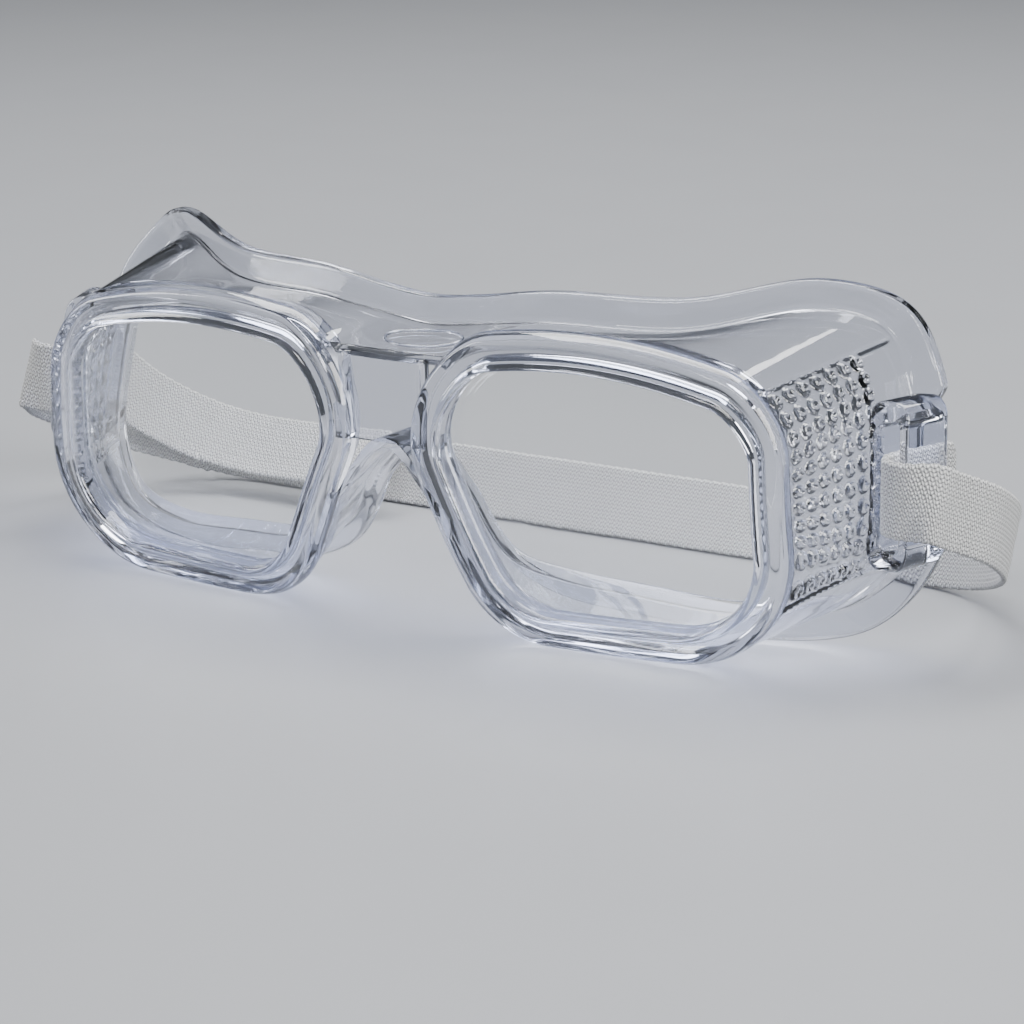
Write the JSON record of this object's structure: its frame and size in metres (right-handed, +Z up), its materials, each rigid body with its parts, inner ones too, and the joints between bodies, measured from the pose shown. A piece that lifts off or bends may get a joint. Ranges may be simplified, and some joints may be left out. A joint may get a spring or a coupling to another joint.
{
  "type": "safety goggles",
  "caption": "Clear soft-framed safety goggles with curved lenses, vented side walls, a flared face lip and an elastic strap threaded through side lugs.",
  "frame": {"origin": "on the surface the goggles stand on, below the middle of their bounding box", "axes": "+Z up; -Y the way the wearer looks; +X towards the wearer's left"},
  "size_m": [0.1916, 0.0694, 0.0585],
  "materials": {
    "clear_pvc": "glossy soft clear vinyl",
    "clear_lens": "polished clear polycarbonate",
    "white_elastic": "knitted white elastic"
  },
  "bodies": {
    "frame": {"left_lens_rim": "clear_pvc", "right_lens_rim": "clear_pvc", "left_lens": "clear_lens", "right_lens": "clear_lens", "bridge_web": "clear_pvc", "brow_centre": "clear_pvc", "nose_arch": "clear_pvc", "left_brow_wall": "clear_pvc", "right_brow_wall": "clear_pvc", "left_temple_wall": "clear_pvc", "right_temple_wall": "clear_pvc", "left_cheek_corner": "clear_pvc", "right_cheek_corner": "clear_pvc", "left_cheek_wall": "clear_pvc", "right_cheek_wall": "clear_pvc", "left_nose_wall": "clear_pvc", "right_nose_wall": "clear_pvc", "brow_lip": "clear_pvc", "left_temple_lip": "clear_pvc", "right_temple_lip": "clear_pvc", "left_side_lip": "clear_pvc", "right_side_lip": "clear_pvc", "left_cheek_lip": "clear_pvc", "right_cheek_lip": "clear_pvc", "left_nose_lip": "clear_pvc", "right_nose_lip": "clear_pvc", "left_vent_wall": "clear_pvc", "right_vent_wall": "clear_pvc", "left_strap_lug": "clear_pvc", "right_strap_lug": "clear_pvc", "left_strap_wrap": "white_elastic", "right_strap_wrap": "white_elastic"},
    "strap": {"left_strap_loop": "white_elastic", "right_strap_loop": "white_elastic", "strap_back_run": "white_elastic"},
    "tail": {"right_strap_tail": "white_elastic"}
  },
  "joints": [
    {"name": "strap_swing", "type": "hinge", "parent": "frame", "child": "strap", "pos_m": [0, -0.01346, 0.0282], "axis": [1, 0, 0], "range_deg": [-60, 120]},
    {"name": "tail_swing", "type": "hinge", "parent": "frame", "child": "tail", "pos_m": [-0.08687, 0.0046, 0.0282], "axis": [1, 0, 0], "range_deg": [-10, 90]}
  ]
}
